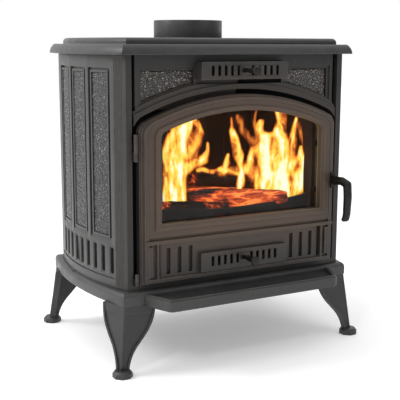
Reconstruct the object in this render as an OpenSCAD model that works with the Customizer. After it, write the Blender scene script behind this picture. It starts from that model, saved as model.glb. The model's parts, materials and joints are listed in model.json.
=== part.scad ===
// Wood burning stove in cast iron: bowed sides, arched glazed door, four cabriole legs.
// Millimetres, +Z up, front faces -Y, origin on the floor under the middle of the stove.

/* [Body] */
// Half width of the body at its front and rear corners
body_cx = 255; // [240:1:262]
// Half depth of the body, to the corners
body_cy = 173; // [165:1:180]
// Half width of the body at the middle of its bowed sides
body_bulge = 284; // [280:1:288]
// Height of the underside of the body castings
body_z0 = 162; // [162:1:162]
// Height of the top of the body castings
body_z1 = 618; // [618:1:618]
// Wall thickness of the side castings
wall = 8; // [6:1:9]

/* [Base and top] */
// Half width of the base rim at its corners
rim_cx = 268; // [262:1:270]
// Half depth of the base rim
rim_cy = 190; // [186:1:192]
// Half width of the base rim at the middle of its sides
rim_bulge = 293; // [288:1:296]
// Half width of the lower tier of the top plate at its corners
top_cx = 267; // [262:1:270]
// Half depth of the lower tier of the top plate
top_cy = 195; // [190:1:198]
// Half width of the lower tier of the top plate at the middle of its sides
top_bulge = 297; // [292:1:300]
// Height of the upper face of the top plate
top_z = 650; // [648:1:652]

/* [Flue] */
// Outside diameter of the flue collar
flue_od = 150; // [150:1:150]
// Wall thickness of the flue collar
flue_wall = 6; // [5:0.5:7]
// Height of the collar above the top plate
flue_h = 38.3; // [30:0.1:45]
// Distance of the flue centre behind the middle of the body
flue_y = 46; // [40:1:50]

/* [Door] */
// Half width of the door
door_hw = 231; // [230:0.5:231.5]
// Gap between the door and the posts beside it
door_gap = 10; // [9.5:0.5:10]
// Radius of the arch over the door opening
arch_r = 530; // [530:1:530]
// Half width of the glass opening
glass_hw = 189; // [186:1:190]
// Diameter of the hinge pins
hinge_pin_d = 5; // [4:0.5:5]
// Radial clearance of the door knuckles on the pins
hinge_play = 0.05; // [0.03:0.01:0.08]

/* [Air controls] */
// Distance between two air slots
slot_pitch = 14.6; // [14:0.05:14.8]
// Width of an air slot
slot_w = 7; // [6:0.1:7]
// Height of an air slot
slot_h = 21; // [18:1:22]

/* [Legs] */
// Distance of the foot pads from the middle, sideways
foot_x = 276; // [274:1:277]
// Distance of the foot pads from the middle, front to back
foot_y = 199.5; // [198:0.5:200]
// Width of a foot pad across its flats
foot_af = 37; // [34:1:38]

/* [Hidden] */
$fn = 96;
e = 0.01;
shelf_front = 255.5;
y_shift = (shelf_front - (foot_y + foot_af / 2)) / 2;
// plan of the bowed sides: radius and the distance of its centre from the middle
function bow_r(cx, cy, b) = (pow(b - cx, 2) + cy * cy) / (2 * (b - cx));
body_r = bow_r(body_cx, body_cy, body_bulge);
body_c = body_r - body_bulge;
seat_y = -166;      // face that the door's rope closes on
post_y = -178;      // front of the corner posts
arch_cz = 20;       // height of the arch centre
open_hw = door_hw + door_gap;
door_z0 = 174;      // bottom of the door
door_r = arch_r - door_gap;
hinge_x = -(open_hw + door_hw) / 2;
hinge_y = -185;
cast = [0.27, 0.27, 0.27];
iron_dark = [0.16, 0.16, 0.16];
steel_black = [0.08, 0.08, 0.08];

module placed() { translate([0, y_shift, 0]) children(); }
module both() { children(); mirror([1, 0, 0]) children(); }

// region left of the outline x = 0, with its top outer corner rounded
module edge2d(w, z0, h, r, v) {
  intersection() {
    translate([-w, z0]) square([w, h]);
    union() {
      if (h - v > 0.01) translate([-w, z0]) square([w, h - v]);
      translate([-w, z0]) square([w - r, h]);
      translate([-r, z0 + h - v]) circle(r, $fn = 96);
    }
  }
}
// plate with two bowed sides and a moulded edge all round
module tier(cx, cy, b, z0, h, r, v) {
  rr = bow_r(cx, cy, b);
  intersection() {
    translate([rr - b, 0, 0]) rotate_extrude($fn = 360) translate([rr, 0]) edge2d(rr, z0, h, r, v);
    translate([b - rr, 0, 0]) rotate_extrude($fn = 360) translate([rr, 0]) edge2d(rr, z0, h, r, v);
    rotate([90, 0, 90]) linear_extrude(2 * b + 20, center = true) {
      translate([cy, 0]) edge2d(cy, z0, h, r, v);
      mirror([1, 0]) translate([cy, 0]) edge2d(cy, z0, h, r, v);
    }
  }
}
// flat outline with two bowed sides
module bowed(cx, cy, b) {
  rr = bow_r(cx, cy, b);
  intersection() {
    square([2 * b + 10, 2 * cy], center = true);
    translate([rr - b, 0]) circle(rr, $fn = 360);
    translate([b - rr, 0]) circle(rr, $fn = 360);
  }
}
// arched outline: half width, bottom, arch radius and shoulder radius
function arch_pts(hw, zb, r, rf) =
  let (xc = hw - rf, zc = arch_cz + sqrt(pow(r - rf, 2) - xc * xc), a = asin(xc / (r - rf)))
  concat(
    [[-hw, zb], [hw, zb]],
    [for (i = [0:12]) let (t = (90 - a) * i / 12) [xc + rf * cos(t), zc + rf * sin(t)]],
    [for (i = [1:47]) let (t = a - 2 * a * i / 48) [r * sin(t), arch_cz + r * cos(t)]],
    [for (i = [0:12]) let (t = (90 - a) * (12 - i) / 12) [-xc - rf * cos(t), zc + rf * sin(t)]]);
// door outline moved in by d; zb is where its bottom edge lies
module arch2d(d, zb) {
  polygon(arch_pts(door_hw - d, zb, door_r - d * 0.762, max(6, 30 - d * 0.35)));
}
module open2d(d, zb) {
  polygon(arch_pts(open_hw - d, zb, arch_r - d, max(6, 40 - d * 0.5)));
}
// extrudes an x-z outline between two y planes
module slab(y0, y1) { translate([0, y1, 0]) rotate([90, 0, 0]) linear_extrude(y1 - y0) children(); }
module box(a, b) { translate(a) cube(b - a); }
module rod_y(x, z, r, y0, y1) { translate([x, y1, z]) rotate([90, 0, 0]) cylinder(r = r, h = y1 - y0); }
module hexa(r, h) { cylinder(r = r, h = h, $fn = 6); }

/* ---- base ---- */
leg_bolt_xy = [[-229, -142], [229, -142], [-229, 142], [229, 142]];
rod_xy = [[-251, -134], [251, -134], [-251, 134], [251, 134]];
module base_plate() color(cast) placed() difference() {
  union() {
    tier(rim_cx, rim_cy, rim_bulge, 136, 26, 10, 10);
    for (s = [-1, 1]) box([s * 124 - 4, -146, 161], [s * 124 + 4, 118, 181.5]);
  }
  // hollow underneath, with a boss for each leg bolt
  difference() {
    translate([0, 0, 130]) linear_extrude(22) bowed(rim_cx - 16, rim_cy - 12, rim_bulge - 14);
    for (p = leg_bolt_xy) translate([p[0], p[1], 136]) cylinder(r = 13, h = 30);
  }
  for (p = leg_bolt_xy) translate([p[0], p[1], 130]) cylinder(r = 4.3, h = 40);
  for (p = rod_xy) translate([p[0], p[1], 130]) cylinder(r = 4.3, h = 40);
  for (x = [-120, 120]) rod_y(x, 144, 3.3, -192, -170);
}
// cabriole leg: S-curved inner edge of each face
function bez(a, b, c, d, t) = pow(1 - t, 3) * a + 3 * pow(1 - t, 2) * t * b + 3 * (1 - t) * t * t * c + t * t * t * d;
leg_in = concat(
  [[66, 144]], [for (i = [0:8]) bez([66, 136], [66, 100], [47, 80], [31, 58], i / 8)],
  [for (i = [1:8]) bez([31, 58], [21, 44], [15.5, 28], [15, 8], i / 8)]);
leg_side = concat(
  [[58, 144]], [for (i = [0:8]) bez([58, 136], [57, 100], [42, 82], [28, 60], i / 8)],
  [for (i = [1:8]) bez([28, 60], [19, 42], [13.5, 28], [13, 8], i / 8)]);
function curve_n(p, i) = let (a = p[max(0, i - 1)], b = p[min(len(p) - 1, i + 1)], d = b - a, l = norm(d)) [d[1], -d[0]] / l;
module leg_face(p) polygon(concat(p, [[0, 8], [0, 144]]));
module leg_bead(p) polygon(concat(p, [for (i = [len(p) - 1:-1:0]) p[i] + 4.5 * curve_n(p, i)]));
leg_a = 19;
module leg() {
  difference() {
    union() {
      // the two faces lean outwards towards the foot
      translate([-265.5, -187.5, 136]) rotate([-6.2, 6.2, 0]) translate([0, 0, -136]) {
        // front face and its bead, from the ridge inwards
        translate([0, 9, 0]) rotate([90, 0, 0]) {
          linear_extrude(9.5) leg_face(leg_in);
          linear_extrude(12.5) leg_bead(leg_in);
          translate([0, 123]) linear_extrude(11.2) square([60, 16]);
        }
        // side face, along the bowed side
        rotate([0, 0, leg_a]) rotate([90, 0, 90]) {
          linear_extrude(9.5) leg_face(leg_side);
          translate([0, 0, -3]) linear_extrude(12.5) leg_bead(leg_side);
          translate([0, 123, -1.7]) linear_extrude(9) square([52, 16]);
        }
        // rounded ridge where the two faces meet
        translate([1.2, 1.2, 8]) cylinder(r = 3.2, h = 140, $fn = 48);
      }
      // flange under the base plate
      difference() {
        box([-266, -183, 128], [-212, -126, 136]);
        translate([-180, -95, 120]) cylinder(r = 45, h = 20);
      }
      // stub into the foot pad
      translate([-272, -194, 7]) cylinder(r = 6, h = 14);
    }
    translate([-229, -142, 120]) cylinder(r = 4.3, h = 20);
    // the faces end on the rim and on the foot pad
    box([-330, -230, 136], [-150, -100, 160]);
    difference() { box([-330, -230, -10], [-230, -150, 13.2]); translate([-272, -194, 5]) cylinder(r = 6, h = 20); }
  }
}
module leg_at(sx, sy) placed() scale_dir(sx, sy) leg();
module scale_dir(sx, sy) mirror([sx > 0 ? 1 : 0, 0, 0]) mirror([0, sy > 0 ? 1 : 0, 0]) children();
module leg_front_left() color(cast) leg_at(-1, -1);
module leg_front_right() color(cast) leg_at(1, -1);
module leg_rear_left() color(cast) leg_at(-1, 1);
module leg_rear_right() color(cast) leg_at(1, 1);
module foot_pads() color(iron_dark) placed() for (sx = [-1, 1], sy = [-1, 1]) scale_dir(sx, sy)
  difference() {
    translate([-foot_x, -foot_y, 0]) intersection() {
      rotate([0, 0, 22.5]) cylinder(r = foot_af / 2 / cos(22.5), h = 13, $fn = 8);
      cylinder(r1 = 26, r2 = 15.5, h = 13);
    }
    translate([-272, -194, 7]) cylinder(r = 6, h = 14);
  }
module leg_bolts() color(steel_black) placed() for (p = leg_bolt_xy) translate([p[0], p[1], 0]) {
  translate([0, 0, 122.5]) hexa(7.5, 5.5);
  translate([0, 0, 127]) cylinder(r = 4, h = 44);
}
module leg_nuts() color(steel_black) placed() for (p = leg_bolt_xy) translate([p[0], p[1], 162])
  difference() { hexa(7.5, 6.5); translate([0, 0, -1]) cylinder(r = 4.05, h = 9); }

/* ---- side castings ---- */
plaque_c = [-98, -11, 76];   // plaque centres along the bow
plaque_w = 62;
bay_w = 76;
plaque_z = [261, 588];
slot0 = -136.5;              // first side slot along the bow
slot_step = 28.9;
function arc_a(s) = 180 - s / body_r * 180 / PI;
// part of a ring round the bow's centre, between two lengths along the bow
module bow_ring(s0, s1) translate([body_c, 0, 0]) rotate([0, 0, arc_a(s1)])
  rotate_extrude(angle = (s1 - s0) / body_r * 180 / PI, $fn = 360) children();
module at_bow(s) translate([body_c, 0, 0]) rotate([0, 0, arc_a(s)]) children();
module side_panel() {
  difference() {
    union() {
      intersection() {
        difference() {
          translate([body_c, 0, body_z0]) cylinder(r = body_r, h = body_z1 - body_z0, $fn = 360);
          translate([body_c, 0, body_z0 - 1]) cylinder(r = body_r - wall, h = 500, $fn = 360);
        }
        box([-300, -145.8, 100], [-200, 164.8, 700]);
      }
      // ledge inside for the hearth plate
      intersection() {
        translate([body_c, 0, 240]) cylinder(r = body_r - 2, h = 10, $fn = 360);
        box([-300, -118, 230], [-238, 118, 260]);
      }
    }
    for (c = plaque_c) {
      // bay round each plaque, with a sloping sill
      difference() {
        bow_ring(c - bay_w / 2, c + bay_w / 2)
          polygon([[body_r - 5.5, 264], [body_r - 5.5, 593], [body_r + 5, 593], [body_r + 5, 244]]);
        bow_ring(c - plaque_w / 2, c + plaque_w / 2)
          polygon([[body_r - 7, plaque_z[0]], [body_r - 7, plaque_z[1]], [body_r - 1, plaque_z[1]], [body_r - 1, plaque_z[0]]]);
      }
      // sunk field of the plaque
      bow_ring(c - plaque_w / 2 + 4, c + plaque_w / 2 - 4)
        polygon([[body_r - 3.4, plaque_z[0] + 4], [body_r - 3.4, plaque_z[1] - 4], [body_r + 3, plaque_z[1] - 4], [body_r + 3, plaque_z[0] + 4]]);
      bow_ring(c - plaque_w / 2 - 1, c + plaque_w / 2 + 1)
        translate([body_r - 1, plaque_z[0] - 1]) square([4, plaque_z[1] - plaque_z[0] + 2]);
    }
    // convection slots
    for (k = [0:8]) at_bow(slot0 + slot_step * k) {
      box([body_r - 20, -5, 195], [body_r + 5, 5, 239]);
      for (z = [195, 239]) translate([body_r - 20, 0, z]) rotate([0, 90, 0]) cylinder(r = 5, h = 25, $fn = 32);
    }
    // groove above the plain band
    bow_ring(-143, 150) translate([body_r - 3, 179.5]) square([8, 4]);
  }
  // bead behind each slot, curling over its top
  for (k = [0:8]) at_bow(slot0 + slot_step * k + 7.4)
    translate([body_r - 0.5, 0, 188]) cylinder(r = 2.2, h = 57, $fn = 24);
}
module side_panel_left() color([0.36, 0.36, 0.36]) placed() side_panel();
module side_panel_right() color([0.36, 0.36, 0.36]) placed() mirror([1, 0, 0]) side_panel();

/* ---- front frame ---- */
fire_hw = 198;
module front_frame() color(cast) placed() {
  difference() {
    union() {
      // seat plate
      slab(seat_y, -154) translate([-246, body_z0]) square([492, body_z1 - body_z0]);
      // posts, cut to the bow of the sides
      intersection() {
        translate([0, 0, body_z0]) linear_extrude(body_z1 - body_z0) intersection() {
          translate([body_c, 0]) circle(body_r, $fn = 360);
          translate([-body_c, 0]) circle(body_r, $fn = 360);
        }
        both() box([-300, post_y, 100], [-open_hw, -146.2, 700]);
      }
      // sill under the door and plain band over the spandrels
      box([-242, post_y, body_z0], [242, seat_y + 1, 171.5]);
      box([-233, -173, 594.5], [233, seat_y + 1, body_z1]);
      // two mouldings over the arch
      intersection() {
        union() {
          slab(-175, seat_y + 1) translate([0, arch_cz]) circle(arch_r + 19, $fn = 360);
          slab(-179, seat_y + 1) translate([0, arch_cz]) circle(arch_r + 9.5, $fn = 360);
        }
        box([-237, -190, 470], [237, -150, 600]);
      }
      // border round each spandrel field
      both() intersection() {
        difference() {
          union() {
            box([-233, -173, 480], [-101, seat_y + 1, 596]);
          }
          box([-225, -180, 470], [-105, -170, 594.5]);
          box([-218, -180, 470], [-104.5, -160, 588]);
        }
        slab(-190, -150) difference() {
          translate([-300, 400]) square([600, 210]);
          translate([0, arch_cz]) circle(arch_r + 19, $fn = 360);
        }
      }
      both() intersection() {
        slab(-170, seat_y + 1) translate([0, arch_cz]) circle(arch_r + 22, $fn = 360);
        box([-226, -190, 470], [-104, -150, 595]);
      }
    }
    // fire opening and the wider recess that the door lies in
    slab(-170, -140) polygon(arch_pts(fire_hw, 181.6, 495, 20));
    // channel in the seat round the door's edge
    slab(seat_y - 1, -158.5) difference() {
      intersection() { open2d(0, 171.5); translate([-300, 171.5]) square([600, 400]); }
      arch2d(4.5, 178.5);
    }
    // grooves beside the posts, over the door
    both() box([232, -190, 512], [open_hw, -160, 640]);
    slab(-200, seat_y) intersection() { open2d(0, 171.5); translate([-300, 171.5]) square([600, 400]); }
    // room for the latch cam
    box([213, seat_y - 5, 326], [open_hw, -150, 372]);
    // seat for the upper cover
    box([-101, -190, 560], [101, seat_y, 605]);
    for (x = [221, 233]) rod_y(x, 318, 2, -163, -150);
    // air inlet behind the upper cover
    box([-88, -190, 577], [88, -150, 597]);
    // flutes down the sides of the posts
    both() for (s = [-171:4.2:-150]) at_bow(s) translate([body_r + 0.5, 0, 168]) cylinder(r = 1.3, h = 446, $fn = 24);
  }
  // hinge lugs, standing in the recess
  difference() {
    for (i = [0, 1]) union() {
      box([hinge_x - 3.4, hinge_y, lug_z[i]], [hinge_x + 3.4, -156, lug_z[i] + lug_h[i]]);
      translate([hinge_x, hinge_y, lug_z[i]]) cylinder(r = 4.4, h = lug_h[i], $fn = 48);
    }
    for (i = [0, 1]) translate([hinge_x, hinge_y, lug_z[i] - 1]) cylinder(r = hinge_pin_d / 2, h = lug_h[i] + 2, $fn = 48);
  }
}
lug_z = [174, 417];
lug_h = [9.8, 17];
knuckle_h = [12, 34];
module hinge_pins() color(steel_black) placed() for (i = [0, 1]) translate([hinge_x, hinge_y, lug_z[i]])
  cylinder(r = hinge_pin_d / 2, h = lug_h[i] + knuckle_h[i] + 1.6, $fn = 48);
// latch keeper: a block under the cam, on a plate behind the seat
module latch_keeper() color(steel_black) placed() difference() {
  union() {
    box([219.5, -165, 326.3], [240.7, -153, 342.6]);
    box([214, -153.8, 310], [240, -150.8, 342.6]);
  }
  for (x = [221, 233]) rod_y(x, 318, 2.2, -170, -140);
}
module latch_keeper_screws() color([0.45, 0.45, 0.45]) placed() for (x = [221, 233]) {
  rod_y(x, 318, 2, -162.8, -150);
  rod_y(x, 318, 3.6, -150.7, -148.9);
}

/* ---- rear and top ---- */
module rear_panel() color(cast) placed() union() {
  intersection() {
    translate([0, 0, body_z0]) linear_extrude(body_z1 - body_z0) bowed(body_cx, body_cy, body_bulge);
    box([-300, 165, 100], [300, body_cy, 700]);
  }
  // cast stiffening frame
  difference() {
    box([-225, 172, 190], [225, 177, 592]);
    for (x = [-217, 5], z = [198, 396]) box([x, 165, z], [x + 212, 180, z + 188]);
  }
}
module top_plate() color(cast) placed() difference() {
  union() {
    tier(top_cx, top_cy, top_bulge, body_z1, 19.5, 24, 19.5);
    tier(246, 166, 270, 636, top_z - 636, 9, 9);
  }
  translate([0, 0, 600]) linear_extrude(30) bowed(body_cx - 14, body_cy - 14, body_bulge - 16);
  translate([0, 0, 620]) linear_extrude(22) bowed(226, 146, 248);
  translate([0, flue_y, 600]) cylinder(r = 58, h = 80);
  for (a = [30, 150, 270]) rotate_at(a) cylinder(r = 3.3, h = 80);
  for (p = rod_xy) translate([p[0], p[1], 610]) cylinder(r = 4.3, h = 18);
}
module rotate_at(a) translate([0, flue_y, 600]) rotate([0, 0, a]) translate([63.5, 0, 0]) children();
module flue_collar() color(iron_dark) placed() translate([0, flue_y, top_z]) difference() {
  cylinder(r = flue_od / 2, h = flue_h, $fn = 180);
  translate([0, 0, 7]) cylinder(r = flue_od / 2 - flue_wall, h = flue_h, $fn = 180);
  translate([0, 0, -1]) cylinder(r = 58, h = 20, $fn = 180);
  for (a = [30, 150, 270]) rotate([0, 0, a]) translate([63.5, 0, -1]) cylinder(r = 3.3, h = 20);
}
module flue_collar_bolts() color(steel_black) placed() for (a = [30, 150, 270]) rotate_at(a) {
  translate([0, 0, 57]) hexa(5, 4);
  translate([0, 0, 31]) cylinder(r = 3, h = 27);
}
module flue_collar_nuts() color(steel_black) placed() for (a = [30, 150, 270]) rotate_at(a)
  translate([0, 0, 36.8]) difference() { hexa(5.2, 5); translate([0, 0, -1]) cylinder(r = 3.05, h = 8); }
module tie_rods() color(steel_black) placed() for (p = rod_xy) translate([p[0], p[1], 140])
  cylinder(r = 4, h = 486);
module tie_rod_nuts() color(steel_black) placed() for (p = rod_xy) translate([p[0], p[1], 145.2])
  difference() { hexa(7.2, 6.5); translate([0, 0, -1]) cylinder(r = 4.05, h = 9); }

/* ---- air controls ---- */
module air_slots(n = 5) for (s = [-1, 1], k = [0:n - 1]) translate([s * (16.6 + slot_pitch * k), 0]) {
  square([slot_w, slot_h - slot_w], center = true);
  for (t = [-1, 1]) translate([0, t * (slot_h - slot_w) / 2]) circle(slot_w / 2, $fn = 32);
}
// hollow cover, open at the back; front plane y0, back plane y1
module air_cover(hw, z0, z1, y0, y1, cz) difference() {
  box([-hw, y0, z0], [hw, y1, z1]);
  box([-92, y0 + 3, cz - 15.7], [92, y1 + 1, cz + 15.7]);
  slab(y0 - 1, y0 + 4) translate([0, cz]) air_slots();
  slab(y0 - 1, y0 + 4) translate([0, cz]) union() {
    square([14.6, 8.6], center = true);
    for (t = [-1, 1]) translate([t * 7.3, 0]) circle(4.3, $fn = 32);
  }
}
module air_slider(y0, cz) slab(y0, y0 + 3) translate([0, cz]) difference() {
  square([168, 30.6], center = true);
  air_slots();
  circle(3.1, $fn = 48);
}
// turned knob on the slider: stem, waist and flared end
module air_knob(y0, cz) translate([0, y0, cz]) rotate([90, 0, 0]) rotate_extrude($fn = 96) union() {
  translate([0, -5.8]) square([3.05, 7]);
  polygon([[0, 0], [4, 0], [4, 9], [6.2, 34], [7, 38], [9.6, 42], [9.6, 44], [8.2, 46], [0, 47]]);
}
module upper_air_cover() color(cast) placed() air_cover(100.4, 569.5, 604, -198, -166.1, 586.9);
module upper_air_slider() color(iron_dark) placed() air_slider(-194.6, 586.9);
module upper_air_knob() color(steel_black) placed() air_knob(-194.6, 586.9);
module lower_air_cover() color(cast) placed() air_cover(102, 187, 226, -201, -190.6, 207.5);
module lower_air_slider() color(iron_dark) placed() air_slider(-197.6, 207.5);
module lower_air_knob() color(steel_black) placed() air_knob(-197.6, 207.5);
module airwash_plate() color(iron_dark) placed() union() {
  box([-215, -153.8, 606], [215, -136, 609]);
  box([-215, -139, 560], [215, -136, 608]);
}

/* ---- firebox ---- */
module firebox_back_liner() color([0.35, 0.3, 0.26]) placed() difference() {
  box([-225, 142, 258.2], [225, 160, 500]);
  for (x = [-150:50:150]) rod_y_z(x, 142, 2.5, 280, 480);
}
module rod_y_z(x, y, r, z0, z1) translate([x, y, z0]) cylinder(r = r, h = z1 - z0, $fn = 24);
module firebox_left_liner() color([0.35, 0.3, 0.26]) placed() box([-243.5, -146, 258.2], [-226, 160, 500]);
module firebox_right_liner() color([0.35, 0.3, 0.26]) placed() box([226, -146, 258.2], [243.5, 160, 500]);
module baffle_plate() color(iron_dark) placed() difference() {
  union() {
    box([-242, -40, 500.2], [242, 158, 508]);
    box([-200, -52, 500.2], [200, -39, 512]);
  }
  for (x = [-240, 240]) translate([x, 120, 490]) cylinder(r = 6, h = 30);
}
module hearth_plate() color(iron_dark) placed() difference() {
  union() {
    box([-245, -146, 250], [245, 162, 258]);
    box([-240.5, -151, 250], [240.5, -145, 258]);
  }
  box([-133, -103, 240], [133, 103, 270]);
}
module grate() color(iron_dark) placed() difference() {
  union() {
    box([-132, -102, 244], [132, 102, 258]);
    for (y = [-96:16:96]) box([-128, y - 3.5, 256], [128, y + 3.5, 262]);
  }
  for (x = [-116:16.5:118], y = [-88:16:88]) box([x - 5, y - 4, 230], [x + 5, y + 4, 270]);
}
// upright guard in front of the logs, its top edge dipping in the middle
module log_guard() color(iron_dark) placed() difference() {
  union() {
    box([-196, -142, 258.2], [196, -135, 318]);
    for (x = [-150, 150]) box([x - 6, -136, 258.2], [x + 6, -118, 275]);
  }
  translate([0, 0, 300.5 + 1250]) rotate([90, 0, 0]) translate([0, 0, 100]) cylinder(r = 1250, h = 60, $fn = 360);
}
module ash_pan() color(iron_dark) placed() union() {
  difference() {
    box([-150, -148, 181.7], [150, 112, 232]);
    box([-148, -146, 183.7], [148, 110, 240]);
  }
  // pull on the front
  difference() {
    box([-45, -164, 205], [45, -147.5, 211]);
    box([-38, -159, 200], [38, -140, 215]);
  }
}
// tapered shelf outline with round front corners, moved in by i
function shelf_side(i) =
  let (hw = 225 - i, r = 14 - i * 0.6, cx = 189 - 0.4 * i, cy = -(shelf_front - i - r),
    d = norm([cx - hw, cy + 188]), th = atan2(cy + 188, cx - hw) + asin(r / d) + 90)
  concat([[hw, -178], [hw, -188]],
    [for (k = [0:12]) let (t = th + (-90 - th) * k / 12) [cx + r * cos(t), cy + r * sin(t)]]);
module shelf2d(i) {
  p = shelf_side(i);
  polygon(concat(p, [for (k = [len(p) - 1:-1:0]) [-p[k][0], p[k][1]]]));
}
module ash_shelf() color(cast) placed() difference() {
  union() {
    translate([0, 0, 134]) linear_extrude(18.5) shelf2d(0);
    translate([0, 0, 131.5]) linear_extrude(6) shelf2d(3);
    translate([0, 0, 150]) linear_extrude(6.2) shelf2d(2.2);
  }
  translate([0, 0, 148.5]) linear_extrude(10) shelf2d(8);
  box([-300, -193.5, 120], [300, -180, 136.3]);
  box([-300, -190, 130], [300, -150, 160]);
  for (x = [-120, 120]) rod_y(x, 144, 3.05, -206, -180);
}
module ash_shelf_bolts() color(steel_black) placed() for (x = [-120, 120]) {
  rod_y(x, 144, 3, -205, -176);
  translate([x, -172.5, 144]) rotate([90, 0, 0]) hexa(5.5, 5);
}

/* ---- door ---- */
face_d = [0, 4, 8, 16, 29, 39, 42];
module door_frame() color([0.3, 0.26, 0.23]) placed() {
  difference() {
    union() {
      slab(-186, -172) arch2d(0, door_z0);
      slab(-190.5, -185) arch2d(3.5, door_z0 + 3.5);
      slab(-196, -185) difference() { arch2d(8, door_z0 + 8); arch2d(16, 184); }
      // stepped moulding round the glass
      slab(-192, -185) arch2d(15, 259.5);
      slab(-195.5, -185) arch2d(17, 267.5);
      slab(-199, -185) arch2d(30, 280.5);
      slab(-200.2, -185) difference() { arch2d(32, 282.5); arch2d(37, 287.5); }
      // ledge
      box([-223, -199.5, 254.5], [223, -185, 261]);
      // lower part: bottom rail, posts, beads and ribs
      box([-222, -195.5, 177.5], [222, -185, 184.5]);
      both() {
        box([194, -197.5, 184], [198, -185, 255]);
        box([206.5, -195.5, 190], [221, -185, 249]);
      }
    }
    // flutes beside the lower cover, and a channel along each bead
    both() {
      for (x = [116.2, 141.2, 165.8]) box([x, -199, 190], [x + 9.8, -182.5, 243.5]);
      box([188.2, -199, 187], [194, -184, 252]);
    }
    // glass opening and the rebate behind it
    slab(-210, -165) arch2d(42, 293.5);
    slab(-186.5, -165) arch2d(37.5, 289);
    // rope groove in the back
    slab(-176.4, -171) difference() { arch2d(19, 189); arch2d(27, 197); }
    for (p = clips) rod_y(p[0], p[1], 2, -178.5, -165);
    // inlet behind the lower cover
    box([-88, -199, 196], [88, -170, 219]);
    // relief for the frame's hinge lugs
    for (i = [0, 1]) translate([hinge_x, hinge_y, lug_z[i] - 0.5]) cylinder(r = 5.6, h = lug_h[i] + 0.7, $fn = 48);
    for (i = [0, 1]) translate([hinge_x, hinge_y, lug_z[i]]) cylinder(r = hinge_pin_d / 2 + hinge_play, h = lug_h[i] + knuckle_h[i] + 3, $fn = 48);
    // spindle hole
    rod_y(222, 351, 5, -210, -160);
  }
  // door knuckles, on the pins above the frame's lugs
  for (i = [0, 1]) difference() {
    z = lug_z[i] + lug_h[i] + 0.4;
    union() {
      translate([hinge_x, hinge_y, z]) cylinder(r = 4.4, h = knuckle_h[i], $fn = 48);
      box([hinge_x, hinge_y - 0.5, z], [-door_hw + 4, hinge_y + 4, z + knuckle_h[i]]);
    }
    translate([hinge_x, hinge_y, z - 1]) cylinder(r = hinge_pin_d / 2 + hinge_play, h = knuckle_h[i] + 2, $fn = 48);
  }
}
module door_rope_seal() color([0.75, 0.73, 0.68]) placed() slab(-176.3, -166.4) difference() { arch2d(19.5, 189.5); arch2d(26.5, 196.5); }
module glass_gasket() color([0.7, 0.68, 0.62]) placed() slab(-186.4, -184.2) difference() { arch2d(37.8, 289.3); arch2d(41.5, 293); }
module door_glass() color([0.5, 0.5, 0.5, 0.4]) placed() slab(-184.1, -180.1) arch2d(38, 289.5);
// glass clips: a tab on the door's back, stepped down so that its tongue bears on the glass
clips = [[-198.4, 330, 90], [-198.4, 430, 90], [198.4, 330, -90], [198.4, 430, -90],
  [-120, 284.2, 0], [0, 284.2, 0], [120, 284.2, 0]];
module clip(p) translate([p[0], 0, p[1]]) rotate([0, p[2], 0]) difference() {
  union() {
    box([-6, -171.9, -5], [6, -169.9, 7]);
    box([-6, -180, 5], [6, -169.9, 7]);
    box([-6, -180, 5], [6, -178.4, 13]);
  }
  rod_y(0, 0, 2.2, -175, -165);
}
module glass_clips() color(steel_black) placed() for (p = clips) clip(p);
module glass_clip_screws() color([0.5, 0.5, 0.5]) placed() for (p = clips) {
  rod_y(p[0], p[1], 2, -178, -169);
  rod_y(p[0], p[1], 3.6, -169.9, -167.9);
}
/* ---- handle ---- */
module handle_escutcheon() color(steel_black) placed() difference() {
  box([216.5, -200, 335], [227.5, -196, 367]);
  rod_y(222, 351, 5.25, -205, -190);
}
grip_top = [228.5, -243, 349];
grip_bot = [228, -245, 276];
module blob(p, r) translate(p) sphere(r = r, $fn = 32);
module door_handle() color(steel_black) placed() difference() {
  union() {
    rod_y(222, 351, 9.5, -214, -200.4);
    hull() { translate([222, -208, 351]) rotate([90, 0, 0]) cylinder(r = 9, h = 4, $fn = 32); blob([224, -228, 352.5], 8.6); }
    hull() { blob([224, -228, 352.5], 8.6); blob([228, -241, 346], 9); }
    hull() { blob([228, -241, 346], 9); blob([228.3, -243.2, 320], 9); }
    hull() { blob([228.3, -243.2, 320], 9); blob([227, -243, 284], 8.2); }
    hull() { blob([227, -243, 284], 8.2); blob([226, -242, 275], 7.8); }
    hull() { blob([226, -242, 275], 7.8); blob([220.5, -241, 272], 4.6); }
  }
  rod_y(222, 351, 4.95, -210, -190);
}
module handle_spindle() color([0.45, 0.45, 0.45]) placed() union() {
  rod_y(222, 351, 4.95, -210, -157);
}
module latch_cam() color([0.45, 0.45, 0.45]) placed() difference() {
  union() {
    rod_y(222, 351, 7.4, -169, -161);
    box([222, -169, 345.5], [236.5, -161, 356.5]);
  }
  rod_y(222, 351, 4.95, -180, -150);
}
module latch_cam_nut() color([0.45, 0.45, 0.45]) placed() translate([222, -157.2, 351]) rotate([90, 0, 0])
  difference() { hexa(7.2, 3.7); translate([0, 0, -1]) cylinder(r = 4.95, h = 8); }

/* ---- logs on the grate ---- */
// split log: a wedge-sided prism lying along its own x axis
module log(l, r, n) rotate([0, 90, 0]) translate([0, 0, -l / 2]) linear_extrude(l)
  polygon([for (i = [0:n - 1]) let (t = 360 * i / n, q = r * (1 - 0.14 * cos(3 * t) - 0.08 * sin(2 * t))) [q * cos(t), q * sin(t)]]);
module firewood() color([0.35, 0.16, 0.07]) placed() {
  translate([45, -80, 295.5]) rotate([0, 0, 2]) log(280, 27, 14);
  translate([40, 2, 297.5]) rotate([0, 0, -2]) log(330, 29, 14);
  translate([75, -41, 349]) rotate([0, 1, 3]) log(250, 21, 14);
}

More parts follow.
